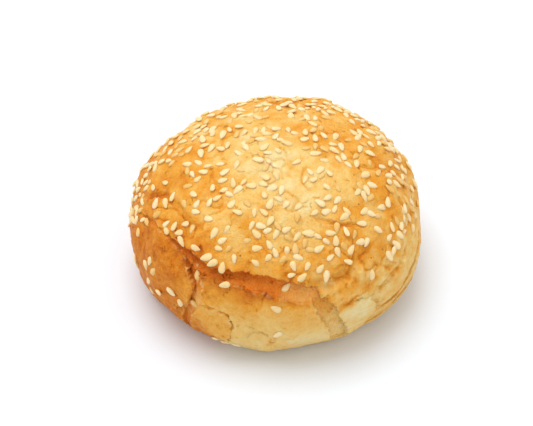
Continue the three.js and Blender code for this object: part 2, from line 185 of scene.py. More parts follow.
# How browned the crust is at a few places, from 0 (pale) to 1 (dark): (azimuth, latitude, reach, browning)
BROWNING = {
    # The palest spots on top are partly paler crust and partly a painted highlight from the lamp above
    "crown and highlight": [(271, 81, 10, 0.05), (278, 65, 9, 0.2), (318, 68, 8, 0.2), (159, 76, 10, 0.24),
              (357, 78, 9, 0.38), (248, 63, 9, 0.33)],
    "dome front": [(221, 53, 7, 0.36), (245, 43, 8, 0.4), (228, 37, 5, 0.72), (262, 39, 6, 0.54),
                   (281, 36, 7, 0.48), (284, 50, 9, 0.27), (298, 37, 6, 0.52)],
    "dome right": [(303, 31, 4, 0.6), (312, 45, 7, 0.44), (314, 57, 8, 0.34), (322, 30, 7, 0.48),
                   (336, 37, 7, 0.52), (344, 48, 8, 0.42), (358, 37, 8, 0.53), (350, 26, 7, 0.42),
                   (357, 59, 8, 0.47), (309, 21, 5, 0.39)],
    "dome left": [(174, 61, 10, 0.46), (190, 52, 9, 0.56), (207, 48, 6, 0.51), (187, 34, 8, 0.54),
                  (207, 34, 4, 0.45)],
    "dome back": [(35, 59, 12, 0.48), (86, 66, 12, 0.34), (138, 59, 12, 0.31), (95, 35, 20, 0.5),
                  (20, 30, 16, 0.5)],
    "left flap": [(216, 20, 7, 0.73), (226, 19, 4, 0.62), (208, 19, 8, 0.76), (222, 8, 7, 0.68),
                  (231, 8, 3, 0.64), (195, 5, 12, 0.74), (160, -10, 18, 0.7), (224, -12, 9, 0.72)],
    "burst floor": [(231, 28, 3, 0.9), (243, 26.5, 3, 0.88), (256, 26, 3.5, 0.85), (268, 24, 3.5, 0.76),
                    (279, 21, 3.5, 0.56), (286, 18, 3, 0.5)],
    "left gap": [(234, 19, 3, 0.72), (234.5, 13, 3, 0.56), (235.5, 6, 3, 0.4), (231, -12, 4, 0.5)],
    "apron": [(243, 19, 4, 0.58), (255, 16, 4, 0.58), (273, 12.5, 4, 0.52), (255, 4, 6, 0.42),
              (239, 1, 3, 0.42), (245, -7, 4, 0.44), (262, -4, 6, 0.28), (272, 1, 7, 0.32),
              (281, 5, 6, 0.38), (263, -13, 7, 0.2), (268, -34, 8, 0.2), (279, -23, 7, 0.08)],
    "right flap": [(286.5, 12, 2.5, 0.55), (288, 3, 3, 0.37), (292, -8, 4, 0.24), (292, -24, 6, 0.18),
                   (291, 21, 4, 0.3), (297, 16, 4, 0.53), (295, 10, 3.5, 0.36),
                   (306, 13, 4, 0.36), (314, 16, 5, 0.36)],
    "side": [(300, 2, 4, 0.04), (303, -4, 5, 0.02), (309, 1, 3, 0.06), (298, -15, 4, 0.22),
             (322, 2, 8, 0.26), (337, 4, 8, 0.28), (325, -25, 12, 0.25), (0, -10, 14, 0.3),
             (40, -10, 18, 0.36), (100, -15, 20, 0.5)],
}
UNDERSIDE_BROWNING = 0.72

# A little weight for places of any distance, so that crust beyond all their reaches takes after them
FAR_PLACE_WEIGHT = 1e-6

# Sesame seeds, laid down by the same rule as on the solid
SEED_LENGTH = 3.5
SEED_WIDTH = 1.95
SEED_THICKNESS = 1.05
SEED_TAPER = 0.35
SEED_THINNING = SEED_TAPER / 2
SEED_RING_SIDES = 8
SEED_RINGS = 6
SEED_SIZE_SPREAD = 0.16
SEED_GAP = 2.4
SEED_COUNT = 600
SEED_CLUMPING = 0.3
CLUMP_REACH = 1.6
LOWEST_SEED = -20
SHALLOW_TEAR = 0.5
SEED_DRAW = 20417
SEED_LOOK_DRAW = 5

# Repeatable draws: each number follows from the last one by a factor and a step, within a range
DRAW_FACTOR = 1664525
DRAW_STEP = 1013904223
DRAW_RANGE = 2 ** 32

# Looks of the single seeds: most are pale and some golden. Each is toasted from 0 to 1, stands a little
# above or below the usual height, and is tilted, stretched and widened a little.
GOLDEN_SHARE = 0.24
GOLDEN_TOAST = (0.65, 1)
PALE_TOAST = (0, 0.4)
PALE_TOAST_POWER = 1.3
SEED_STAND = 0.16
GOLDEN_LIFT = (-0.2, 0.0)
PALE_LIFT = (-0.1, 0.15)
PITCH_SPREAD = 0.12
ROLL_SPREAD = 0.14
STRETCH = (0.92, 1.06)
WIDENING = (0.9, 1.1)

# Seeded crust reaches down to these latitudes, round the roll: (azimuth, latitude)
SEEDED_DOWN_TO = [
    (0, 8), (90, -4), (180, -6), (192, 6), (202, 26), (226, 30), (240, 28), (267, 26),
    (284, 24), (297, 27), (310, 29), (322, 20), (340, 14), (360, 8),
]
SEEDED_FADE = 12

# Single seeds in the tears, along the lips, on the flaps and on the apron: (azimuth, latitude)
STRAY_SEEDS = [
    (273.5, 22.5), (234.5, 21), (247.5, 21), (269, 12), (269.5, -9.5), (228, -1), (235, 3), (242, -47),
    (246.5, -48), (251, -49), (237, 33), (240.5, 31.5), (245, 31), (280.5, 29), (291, 27), (222, 33.5),
    (198, -9), (208.5, 6), (211, 11.5), (214, 8), (217.5, -3.5), (224, 3.5), (210, -6), (311, 18),
    (322.5, 20), (325.5, 20.5), (328.5, 22), (333, 23.5), (337, 26), (342, 22.5),
]

# Further single seeds on the left shoulder, laid down last: (azimuth, latitude, spin)
LAST_SEEDS = [
    (210, 35, 20), (214.5, 37, 50), (212, 32.5, 110), (198, 16.5, 80), (198, -4.5, 60), (207.5, -29.5, 120),
]

# Camera, as the photograph was taken
PHOTO_WIDTH = 533
SENSOR_WIDTH = 36
FOCAL_PIXELS = 1934
CAMERA_ELEVATION = 46
CAMERA_DISTANCE = 650
AIM_HEIGHT = 25
AIM_ASIDE = -2.9
AIM_DOWN = 0.7
NEAREST_SEEN = 10


def smoothstep(value, low, high):
    share = np.clip((value - low) / (high - low), 0, 1)
    return share * share * (3 - 2 * share)


# The form of the roll

def form_points(azimuth, latitude):
    """Points of the plain form: a superelliptic dome over a side that turns in to the foot."""
    turn = np.radians(azimuth)
    across = np.abs(np.cos(np.radians(latitude)))
    along = np.abs(np.sin(np.radians(latitude)))
    on_dome = np.asarray(latitude) >= 0
    side_depth = WAIST_RADIUS - FOOT_RADIUS
    radius = np.where(on_dome, WAIST_RADIUS * across ** (2 / DOME_FULLNESS),
                      FOOT_RADIUS + side_depth * across ** (2 / SIDE_FULLNESS))
    height = np.where(on_dome, WAIST_HEIGHT + (ROLL_HEIGHT - WAIST_HEIGHT) * along ** (2 / DOME_FULLNESS),
                      WAIST_HEIGHT - WAIST_HEIGHT * along ** (2 / SIDE_FULLNESS))
    plan = 1 + OVAL[0] * np.cos(2 * (turn - math.radians(OVAL[1])))
    plan = plan + THREE_CORNERED[0] * np.cos(3 * (turn - math.radians(THREE_CORNERED[1])))
    lean = (height / ROLL_HEIGHT) ** 2
    return np.stack([radius * plan * np.cos(turn) + CROWN_LEAN[0] * lean + FOOT_SHIFT[0],
                     radius * plan * np.sin(turn) + CROWN_LEAN[1] * lean + FOOT_SHIFT[1],
                     height], axis=-1)


def unit(vectors):
    return vectors / np.maximum(np.linalg.norm(vectors, axis=-1, keepdims=True), TINY)


# Degrees to the neighbouring points that give a direction
NORMAL_STEP = 0.2


def form_normals(azimuth, latitude, step=NORMAL_STEP):
    """Outward directions of the plain form, from neighbouring points on it."""
    east = form_points(azimuth + step, latitude) - form_points(azimuth - step, latitude)
    low = np.maximum(latitude - step, -90)
    north = form_points(azimuth, latitude + step) - form_points(azimuth, low)
    normals = unit(np.cross(east, north))
    normals[latitude > 90 - step] = (0, 0, 1)
    return normals


def lump_heights(points):
    """Height of the soft lumps and of the single swells and hollows."""
    rise = np.zeros(len(points))
    for height, spacing, way, start in LUMPS:
        rise += height * np.sin(2 * math.pi * (points @ np.array(way)) / spacing + start)
    for azimuth, latitude, reach, height in SWELLS:
        apart = np.linalg.norm(points - form_points(azimuth, latitude), axis=1)
        rise += height * np.exp(-(apart / reach) ** 2)
    return rise


# The tears

Course = namedtuple("Course", "points upper half_widths depths")
Beside = namedtuple("Beside", "outside across is_upper upper depth")

# Points are measured in batches, and those farther off than this count as outside
POINTS_AT_A_TIME = 8000
FAR_OFF = 12.0


def tear_course(tear, steps):
    """A tear's smooth course over the form, a Catmull-Rom curve through its places, sampled."""
    places = np.array(tear.places, float)
    corners = form_points(places[:, 0], places[:, 1])
    before = 2 * corners[0] - corners[1]
    after = 2 * corners[-1] - corners[-2]
    corners = np.vstack([before, corners, after])
    along = np.linspace(0, len(places) - 1, steps + 1)
    k = np.minimum(along.astype(int), len(places) - 2)
    mid = (along - k)[:, None]
    a, b, c, d = corners[k], corners[k + 1], corners[k + 2], corners[k + 3]
    bend = 2 * a - 5 * b + 4 * c - d
    twist = 3 * b - a - 3 * c + d
    points = 0.5 * (2 * b + (c - a) * mid + bend * mid ** 2 + twist * mid ** 3)
    tangents = 0.5 * ((c - a) + 2 * bend * mid + 3 * twist * mid ** 2)
    between = places[k] + (places[k + 1] - places[k]) * mid
    upper = unit(np.cross(form_normals(between[:, 0], between[:, 1]), tangents))
    return Course(points, upper, between[:, 2], between[:, 3])


COURSES = {name: tear_course(tear, RELIEF_STEPS) for name, tear in TEARS.items()}
SEEDING_COURSES = {name: tear_course(tear, SEEDING_STEPS) for name, tear in TEARS.items()}


def beside_tear(course, points):
    """How points lie beside a tear: how far outside its floor, how far across it (1 at its upper edge),
    and the upper direction and the depth where each is nearest to it. Points far off count as outside."""
    outside = np.full(len(points), FAR_OFF)
    across, to_upper, depth = np.zeros((3, len(points)))
    upper = np.zeros_like(points)
    near = (points > course.points.min(axis=0) - FAR_OFF) & (points < course.points.max(axis=0) + FAR_OFF)
    near = np.flatnonzero(near.all(axis=1))
    for start in range(0, len(near), POINTS_AT_A_TIME):
        batch = near[start:start + POINTS_AT_A_TIME]
        apart = np.linalg.norm(points[batch, None] - course.points[None], axis=2)
        nearest = apart.argmin(axis=1)
        half_width = course.half_widths[nearest]
        outside[batch] = apart.min(axis=1) - half_width
        upper[batch] = course.upper[nearest]
        to_upper[batch] = ((points[batch] - course.points[nearest]) * upper[batch]).sum(axis=1)
        across[batch] = np.clip(to_upper[batch] / half_width, -1, 1)
        depth[batch] = course.depths[nearest]
    return Beside(outside, across, to_upper > 0, upper, depth)


def floor_share(tear, outside, is_upper, sheerness=1):
    """1 on a tear's floor, falling to 0 at the top of its walls; steep walls may be made sheerer."""
    wall = np.where(is_upper, tear.upper_wall, tear.lower_wall)
    wall = np.where(wall < STEEP_WALL, wall / sheerness, wall)
    return 1 - smoothstep(outside / wall, 0, 1)


def tear_depth(points):
    """Depth of the tears as the seeds meet them: where two meet, the deeper one shows."""
    depth = np.zeros(len(points))
    for name, tear in TEARS.items():
        beside = beside_tear(SEEDING_COURSES[name], points)
        depth = np.maximum(depth, beside.depth * floor_share(tear, beside.outside, beside.is_upper))
    return depth


# The crust

# Mesh of the crust: a sphere's subdivisions, made finer above a skirt, then on the front of the dome
# (between two azimuths, above a latitude) and within the first reach of the tears, then within the second
CRUST_SUBDIVISIONS = 6
SKIRT_LATITUDE = -75
FRONT_DOME = (200, 345, 12)
REFINED_REACHES = [4.0, 0.8]

# Length of a degree of azimuth at the waist
MM_A_DEGREE = math.radians(WAIST_RADIUS)

# Regions round the roll: their middle azimuth, and how far from it they begin to fade and end
LEFT_SIDE = (200, 38, 60)
RIGHT_SIDE = (308, 20, 30)
APRON_SIDE = (262, 22, 28)

# Latitudes over which the relief of the dome, the flaps, the apron and the side comes or goes
DOME_FROM = (2, 20)
DOME_LOWER_AT_RIGHT = 10
LEFT_FLAP_TO = (26, 36)
RIGHT_FLAP_FROM = (4, 10)
RIGHT_FLAP_TO = (22, 30)
APRON_TO = (4, 14)
SIDE_TO = (-4, 10)

# Folds, streaks, blisters and grain of the crust; the dome's folds are calmer on the left flap
DOME_FOLDS = Waves(7.0, 3, 3, height=0.65, smoothness=0.85)
DOME_MOTTLING = Waves(6.0, 3, 91, tone=0.2)
FLAP_CALM = 0.6
ROUGH_PATCH = Waves(3.0, 3, 101, height=0.3, smoothness=0.7)
ROUGH_PLACE = (300, 46)
ROUGH_REACH = 12
SKIN_GRAIN = Waves(1.8, 3, 11, height=0.11, smoothness=0.7)
FLOOR_GRAIN = Waves(2.2, 3, 31, height=0.25)
SIDE_STREAKS = Waves((15.0, 15.0, 1.3), 3, 41, height=0.3, tone=0.14)
APRON_FOLDS = Waves((3.2, 16.0, 16.0), 3, 51, height=0.28)
RIGHT_BLISTERS = Waves(4.0, 3, 121, height=0.35, tone=-0.25)
FLAP_STREAKS = Waves((2.2, 8.0, 1.0), 3, 111, height=0.32, tone=0.08)
FLAP_GRAIN = Waves(1.5, 3, 131, height=0.2, tone=-0.06, smoothness=0.8)

# Creases of the dome: thin lines where waves cross 0, in the patches where other waves let them come
CREASE_LINES = Waves(7.0, 2, 21, height=-0.5, tone=0.2)
CREASE_WIDTH = 0.09
CREASE_PATCHES = Waves(14.0, 1, 28)
CREASES_COME = (-0.1, 0.3)

# A sphere's latitudes, and the crust's latitudes that they become; below the foot is the underside
FOOT_ON_SPHERE = -58
SPHERE_LATITUDES = [FOOT_ON_SPHERE, -10, 90]
CRUST_LATITUDES = [-90, 0, 90]

Crust = namedtuple("Crust", "points bare tone pale")


def sphere_places(directions):
    """Azimuths and latitudes on the crust of a sphere's directions, and how far in on the underside."""
    azimuth = np.degrees(np.arctan2(directions[:, 1], directions[:, 0])) % 360
    level = np.degrees(np.arcsin(np.clip(directions[:, 2], -1, 1)))
    latitude = np.interp(level, SPHERE_LATITUDES, CRUST_LATITUDES)
    underside = np.clip((level + 90) / (FOOT_ON_SPHERE + 90), 0, 1)
    return azimuth, latitude, underside


def waves_at(points, waves):
    """Smooth random heights at points, about -1 to 1."""
    away = np.array((waves.start, -waves.start, 2 * waves.start))
    places = points / np.array(waves.feature) + away
    return np.array([noise.fractal(Vector(place), waves.smoothness, FINER_EACH_OCTAVE, waves.octaves)
                     for place in places])


def creases(points):
    """1 along thin winding lines that come and go, 0 elsewhere."""
    comes = smoothstep(waves_at(points, CREASE_PATCHES), *CREASES_COME)
    return comes * np.exp(-(waves_at(points, CREASE_LINES) / CREASE_WIDTH) ** 2)


def around(azimuth, region):
    """1 within a region round the roll, falling to 0 where it ends."""
    middle, fades, ends = region
    return 1 - smoothstep(np.abs(azimuth - middle), fades, ends)


def relief(points, azimuth, latitude, bare):
    """Heights of the folds, creases and streaks of the crust, and how they change its browning."""
    skin = 1 - bare
    left = around(azimuth, LEFT_SIDE)
    right = around(azimuth, RIGHT_SIDE)
    dome = smoothstep(latitude + DOME_LOWER_AT_RIGHT * right, *DOME_FROM) * skin
    left_flap = left * (1 - smoothstep(latitude, *LEFT_FLAP_TO))
    right_flap = right * smoothstep(latitude, *RIGHT_FLAP_FROM) * (1 - smoothstep(latitude, *RIGHT_FLAP_TO))
    apron = around(azimuth, APRON_SIDE) * (1 - smoothstep(latitude, *APRON_TO))
    side = (1 - smoothstep(latitude, *SIDE_TO)) * (1 - apron) * (1 - left)
    from_rough = np.linalg.norm(points - form_points(*ROUGH_PLACE), axis=1)
    rough = np.exp(-(from_rough / ROUGH_REACH) ** 2)
    unrolled = latitude * MM_A_DEGREE
    up_the_side = np.stack([points[:, 0], points[:, 1], unrolled], axis=1)
    over_the_flap = np.stack([azimuth * MM_A_DEGREE, unrolled, 0 * azimuth], axis=1)
    lines = dome * (1 - left_flap) * creases(points)
    rise = CREASE_LINES.height * lines
    tone = CREASE_LINES.tone * lines
    for waves, where, places in (
        (DOME_FOLDS, dome * (1 - FLAP_CALM * left_flap), points),
        (DOME_MOTTLING, dome * (1 - left_flap), points),
        (ROUGH_PATCH, rough, points),
        (SKIN_GRAIN, 1, points),
        (FLOOR_GRAIN, bare, points),
        (SIDE_STREAKS, side, up_the_side),
        (APRON_FOLDS, apron, up_the_side),
        (RIGHT_BLISTERS, right_flap * skin, points),
        (FLAP_STREAKS, left_flap * skin, over_the_flap),
        (FLAP_GRAIN, left_flap * skin, points),
    ):
        found = where * waves_at(places, waves)
        rise += waves.height * found
        tone += waves.tone * found
    return rise, tone


def crust_shape(azimuth, latitude):
    """The real crust with its lumps, wrinkles, tears and lips: its points, where inner dough is bare,
    how much more it is browned than its surroundings, with painted shade on groove floors, and where
    its edges are painted pale, partly as flaking crust and partly as a painted highlight."""
    points = form_points(azimuth, latitude)
    normals = form_normals(azimuth, latitude)
    depth, bare, curl, tone, pale = np.zeros((5, len(points)))
    slide = np.zeros_like(points)
    ragged = sum(waves.height * waves_at(points, waves) for waves in RAGGED)
    uneven = 1 + LIP_UNEVENNESS.height * waves_at(points, LIP_UNEVENNESS)
    flakes_and_highlights = smoothstep(waves_at(points, FLAKE_AND_HIGHLIGHT_WAVES), *FLAKE_AND_HIGHLIGHT_COME)
    for name, tear in TEARS.items():
        beside = beside_tear(COURSES[name], points)
        outside = beside.outside + tear.ragged * ragged
        share = floor_share(tear, outside, beside.is_upper, SHEERNESS)
        strength = beside.depth / max(place[3] for place in tear.places)
        depth = np.maximum(depth, beside.depth * share * (1 + tear.tilt * beside.across))
        bare = np.maximum(bare, tear.bare * share)
        lip = strength * (1 - smoothstep(outside, 0, LIP_REACH)) * (1 - share)
        hang = np.where(beside.is_upper, -tear.upper_hang, tear.lower_hang)
        slide += beside.upper * (hang * lip * uneven)[:, None]
        curl = np.maximum(curl, tear.curl * lip * uneven)
        wall = np.where(beside.is_upper, tear.upper_wall, tear.lower_wall)
        edge_tone = np.where(beside.is_upper, tear.upper_tone, tear.lower_tone)
        # The groove's floor is painted browner here, as painted shade
        tone += strength * (tear.floor_tone * share
                            + edge_tone * (1 - share) * np.exp(-np.maximum(outside, 0) / tear.tone_reach))
        # Pale edges: partly flaking crust, partly a painted highlight along the lit edge
        on_edge = np.exp(-((outside - FLAKE_AND_HIGHLIGHT_WALL_SHARE * wall) / FLAKE_AND_HIGHLIGHT_WIDTH) ** 2)
        pale = np.maximum(pale, tear.flaky * strength * flakes_and_highlights * on_edge)
    calm = smoothstep(latitude, *FOOT_CALM)
    folds, fold_tone = relief(points, azimuth, latitude, bare)
    rise = lump_heights(points) - depth + curl + folds
    points = points + calm[:, None] * (normals * rise[:, None] + slide)
    return Crust(points, bare * calm, tone + fold_tone, pale)


def refine(bm, is_near):
    """Splits the edges whose two ends are near, and puts the new vertices on the sphere."""
    bm.verts.ensure_lookup_table()
    azimuth, latitude, _ = sphere_places(np.array([v.co for v in bm.verts]))
    near = is_near(azimuth, latitude)
    edges = [e for e in bm.edges if near[e.verts[0].index] and near[e.verts[1].index]]
    bmesh.ops.subdivide_edges(bm, edges=edges, cuts=1, use_grid_fill=True)
    bm.verts.index_update()
    for v in bm.verts:
        v.co.normalize()


def above_skirt(azimuth, latitude):
    return latitude > SKIRT_LATITUDE


def by_tears(azimuth, latitude, reach):
    """Whether places lie within reach of the edges of a tear."""
    points = form_points(azimuth, latitude)
    near = np.zeros(len(points), bool)
    for course in COURSES.values():
        near |= np.abs(beside_tear(course, points).outside) < reach
    return near & (latitude > SKIRT_LATITUDE)


def front_or_tears(azimuth, latitude):
    first, last, lowest = FRONT_DOME
    front = (azimuth > first) & (azimuth < last) & (latitude > lowest)
    return front | by_tears(azimuth, latitude, REFINED_REACHES[0])


def tear_edges(azimuth, latitude):
    return by_tears(azimuth, latitude, REFINED_REACHES[1])


def browning_at(points):
    """How browned the crust is, from the places that are stated."""
    spots = np.array([spot for region in BROWNING.values() for spot in region], float)
    azimuth, latitude, reach, browning = spots.T
    centres = form_points(azimuth, latitude)
    apart = np.linalg.norm(points[:, None] - centres[None], axis=2)
    weight = np.exp(-(apart / reach) ** 2) + FAR_PLACE_WEIGHT / (1 + apart)
    return (weight * browning).sum(axis=1) / weight.sum(axis=1)


def add_attribute(mesh, name, values):
    attribute = mesh.attributes.new(name, "FLOAT", "POINT")
    attribute.data.foreach_set("value", np.asarray(values, np.float32))


def add_piece(name, mesh, material):
    mesh.shade_smooth()
    mesh.materials.append(material)
    piece = bpy.data.objects.new(name, mesh)
    bpy.context.scene.collection.objects.link(piece)
    return piece


def make_crust(material):
    bm = bmesh.new()
    bmesh.ops.create_icosphere(bm, subdivisions=CRUST_SUBDIVISIONS, radius=1)
    for is_near in (above_skirt, front_or_tears, tear_edges):
        refine(bm, is_near)
    mesh = bpy.data.meshes.new("crust")
    bm.to_mesh(mesh)
    bm.free()
    directions = np.zeros(len(mesh.vertices) * 3)
    mesh.vertices.foreach_get("co", directions)
    azimuth, latitude, underside = sphere_places(directions.reshape(-1, 3))
    shape = crust_shape(azimuth, latitude)
    points = shape.points
    # This browning also carries the painted shade on groove floors and the painted highlight on top of the
    # dome
    browning = browning_at(form_points(azimuth, latitude)) + shape.tone
    is_under = underside < 1
    points[is_under] *= underside[is_under, None]
    browning[is_under] = UNDERSIDE_BROWNING
    mesh.vertices.foreach_set("co", (points * MM).ravel())
    add_attribute(mesh, "browning", browning)
    add_attribute(mesh, "bare", shape.bare)
    add_attribute(mesh, "pale", shape.pale)
    mesh.update()
    return add_piece("crust", mesh, material)


# The sesame seeds

def seeded_draw(seed):
    """A repeatable draw of numbers from 0 to 1."""
    state = seed
    while True:
        state = (state * DRAW_FACTOR + DRAW_STEP) % DRAW_RANGE
        yield state / DRAW_RANGE


def seeding(azimuth, latitude):
    """How thickly the crust is seeded at a place, from 0 to 1."""
    azimuths, levels = zip(*SEEDED_DOWN_TO)
    lowest = np.interp(azimuth, azimuths, levels)
    return smoothstep(latitude, lowest, lowest + SEEDED_FADE)


def landing(draw, seeds):
    """Where a thrown seed lands: beside one that lies there already, or anywhere on the dome."""
    clumps = next(draw) < SEED_CLUMPING
    first = next(draw)
    second = next(draw)
    if not clumps:
        lowest = math.sin(math.radians(LOWEST_SEED))
        return 360 * first, math.degrees(math.asin(lowest + (1 - lowest) * second))
    near_azimuth, near_latitude = seeds[int(first * len(seeds))][:2]
    reach = math.degrees(SEED_GAP * (1 + (CLUMP_REACH - 1) * next(draw)) / WAIST_RADIUS)
    turn = 2 * math.pi * second
    azimuth = near_azimuth + reach * math.cos(turn) / math.cos(math.radians(near_latitude))
    return (azimuth + 360) % 360, min(near_latitude + reach * math.sin(turn), 90)


def scatter_seeds():
    """Seeds thrown at the roll, many in clumps: each stays where the crust is seeded, clear of the
    tears and of the seeds that are already there. Rows of azimuth, latitude, spin and size."""
    draw = seeded_draw(SEED_DRAW)
    seeds = [(azimuth, latitude, 2 * math.pi * next(draw), 1 + SEED_SIZE_SPREAD)
             for azimuth, latitude in STRAY_SEEDS]
    lying = form_points(*np.array(STRAY_SEEDS, float).T)
    while len(seeds) < SEED_COUNT:
        azimuth, latitude = landing(draw, seeds)
        luck = next(draw)
        spin = 2 * math.pi * next(draw)
        size = 1 + SEED_SIZE_SPREAD * (2 * next(draw) - 1)
        point = form_points(azimuth, latitude)
        is_clear = np.linalg.norm(lying - point, axis=1).min() > SEED_GAP
        if luck > seeding(azimuth, latitude) or not is_clear or tear_depth(point[None])[0] > SHALLOW_TEAR:
            continue
        seeds.append((azimuth, latitude, spin, size))
        lying = np.vstack([lying, point])
    seeds += [(azimuth, latitude, math.radians(spin), 1) for azimuth, latitude, spin in LAST_SEEDS]
    return np.array(seeds)


def seed_shape():
    """One seed at the origin: a flattened drop along X, pointed at its +X end."""
    bm = bmesh.new()
    bmesh.ops.create_uvsphere(bm, u_segments=SEED_RING_SIDES, v_segments=SEED_RINGS, radius=1,
                              matrix=Matrix.Rotation(math.pi / 2, 4, "Y"))
    for v in bm.verts:
        v.co.y *= 1 - SEED_TAPER * v.co.x
        v.co.z *= 1 - SEED_THINNING * v.co.x
    bmesh.ops.scale(bm, vec=(SEED_LENGTH / 2, SEED_WIDTH / 2, SEED_THICKNESS / 2), verts=bm.verts)
    mesh = bpy.data.meshes.new("sesame_seeds")
    bm.to_mesh(mesh)
    bm.free()
    return mesh


def make_seeds(material):
    azimuth, latitude, spins, sizes = scatter_seeds().T
    look = np.random.default_rng(SEED_LOOK_DRAW)
    places = crust_shape(azimuth, latitude).points
    normals = form_normals(azimuth, latitude)
    one = seed_shape()
    bm = bmesh.new()
    toast = []
    for spin, size, place, normal in zip(spins, sizes, places, normals):
        golden = look.random() < GOLDEN_SHARE
        toast_here = look.uniform(*GOLDEN_TOAST) if golden else look.uniform(*PALE_TOAST) ** PALE_TOAST_POWER
        lift = look.uniform(*(GOLDEN_LIFT if golden else PALE_LIFT))
        pitch = Matrix.Rotation(look.normal(0, PITCH_SPREAD), 4, "Y")
        tilt = pitch @ Matrix.Rotation(look.normal(0, ROLL_SPREAD), 4, "X")
        lie = Vector((0, 0, 1)).rotation_difference(Vector(normal)).to_matrix().to_4x4()
        stand = Matrix.Translation(Vector(place) + Vector(normal) * (SEED_STAND + lift))
        scale = Matrix.Diagonal((size * look.uniform(*STRETCH), size * look.uniform(*WIDENING), 1, 1))
        before = len(bm.verts)
        bm.from_mesh(one)
        bm.verts.ensure_lookup_table()
        matrix = Matrix.Scale(MM, 4) @ stand @ lie @ Matrix.Rotation(spin, 4, "Z") @ tilt @ scale
        bmesh.ops.transform(bm, matrix=matrix, verts=bm.verts[before:])
        toast += [toast_here] * (len(bm.verts) - before)
    bm.to_mesh(one)
    bm.free()
    add_attribute(one, "toast", toast)
    return add_piece("sesame_seeds", one, material)


# Materials

def srgb(red, green, blue):
    """A colour as the screen shows it, 0 to 255, as Blender's linear colour, by the sRGB standard."""
    def linear(c):
        c = c / 255
        return c / 12.92 if c <= 0.04045 else ((c + 0.055) / 1.055) ** 2.4
    return (linear(red), linear(green), linear(blue), 1)


def new_material(name):
    material = bpy.data.materials.new(name)
    material.use_nodes = True
    tree = material.node_tree
    tree.nodes.clear()
    out = tree.nodes.new("ShaderNodeOutputMaterial")
    shader = tree.nodes.new("ShaderNodeBsdfPrincipled")
    tree.links.new(shader.outputs[0], out.inputs["Surface"])
    return material, tree, shader


def feed(tree, socket, value):
    """Links a socket to another one, or sets it to a value."""
    if isinstance(value, bpy.types.NodeSocket):
        tree.links.new(value, socket)
    else:
        socket.default_value = value


def node(tree, kind, **inputs):
    """A node with its inputs fed by name; underscores stand for spaces."""
    made = tree.nodes.new("ShaderNode" + kind)
    for name, value in inputs.items():
        feed(tree, made.inputs[name.replace("_", " ")], value)
    return made


def math_node(tree, operation, first, second):
    made = tree.nodes.new("ShaderNodeMath")
    made.operation = operation
    feed(tree, made.inputs[0], first)
    feed(tree, made.inputs[1], second)
    return made.outputs[0]


def add_share(tree, value, extra, share):
    """A value plus a share of another."""
    return math_node(tree, "ADD", value, math_node(tree, "MULTIPLY", extra, share))


def map_range(tree, value, low, high, to_low, to_high):
    made = node(tree, "MapRange", Value=value, From_Min=low, From_Max=high, To_Min=to_low, To_Max=to_high)
    made.interpolation_type = "SMOOTHSTEP"
    return made.outputs[0]


def ramp(tree, factor, stops):
    made = node(tree, "ValToRGB", Fac=factor)
    elements = made.color_ramp.elements
    while len(elements) < len(stops):
        elements.new(0.5)
    for element, (position, colour) in zip(elements, stops):
        element.position = position
        element.color = colour
    return made.outputs["Color"]


def mix_colours(tree, factor, first, second):
    """A mix of two colours; a Mix node's colour sockets are its inputs 6 and 7 and its output 2."""
    made = tree.nodes.new("ShaderNodeMix")
    made.data_type = "RGBA"
    feed(tree, made.inputs[0], factor)
    feed(tree, made.inputs[6], first)
    feed(tree, made.inputs[7], second)
    return made.outputs[2]


def attribute(tree, name):
    made = tree.nodes.new("ShaderNodeAttribute")
    made.attribute_name = name
    return made.outputs["Fac"]


def let_light_in(shader, share, spread, depth):
    """Lets light into a surface: how much of it, how far each colour goes, and a depth in millimetres."""
    shader.inputs["Subsurface Weight"].default_value = share
    shader.inputs["Subsurface Radius"].default_value = spread
    shader.inputs["Subsurface Scale"].default_value = depth * MM


SPECKLE_DETAIL = 4.0
SPECKLE_ROUGHNESS = 0.55
NOISE_MIDDLE = 0.5


def make_speckle_group():
    """Noise about 0 with features of the stated size in millimetres."""
    group = bpy.data.node_groups.new("speckle", "ShaderNodeTree")
    group.interface.new_socket("Place", in_out="INPUT", socket_type="NodeSocketVector")
    group.interface.new_socket("Feature", in_out="INPUT", socket_type="NodeSocketFloat")
    group.interface.new_socket("Speckle", in_out="OUTPUT", socket_type="NodeSocketFloat")
    given = group.nodes.new("NodeGroupInput")
    result = group.nodes.new("NodeGroupOutput")
    scale = math_node(group, "DIVIDE", 1 / MM, given.outputs["Feature"])
    found = node(group, "TexNoise", Vector=given.outputs["Place"], Scale=scale, Detail=SPECKLE_DETAIL,
                 Roughness=SPECKLE_ROUGHNESS)
    speckle = math_node(group, "SUBTRACT", found.outputs["Fac"], NOISE_MIDDLE)
    group.links.new(speckle, result.inputs["Speckle"])
    return group


SPECKLE_GROUP = make_speckle_group()


def speckle(tree, place, feature):
    made = tree.nodes.new("ShaderNodeGroup")
    made.node_tree = SPECKLE_GROUP
    feed(tree, made.inputs["Place"], place)
    feed(tree, made.inputs["Feature"], feature)
    return made.outputs["Speckle"]


CRUST_COLOURS = [
    (0.0, srgb(234, 213, 156)),
    (0.25, srgb(233, 191, 109)),
    (0.5, srgb(228, 159, 54)),
    (0.75, srgb(207, 119, 19)),
    (1.0, srgb(154, 66, 8)),
]
BARE_COLOURS = [
    (0.05, srgb(233, 206, 144)),
    (0.4, srgb(233, 174, 88)),
    (0.7, srgb(229, 134, 40)),
    (1.0, srgb(182, 80, 10)),
]
# Colour of the pale edges: flaking crust, and a painted highlight along the lit edges
FLAKE_AND_HIGHLIGHT_COLOUR = srgb(240, 208, 142)
PIT_COLOUR = srgb(150, 76, 20)

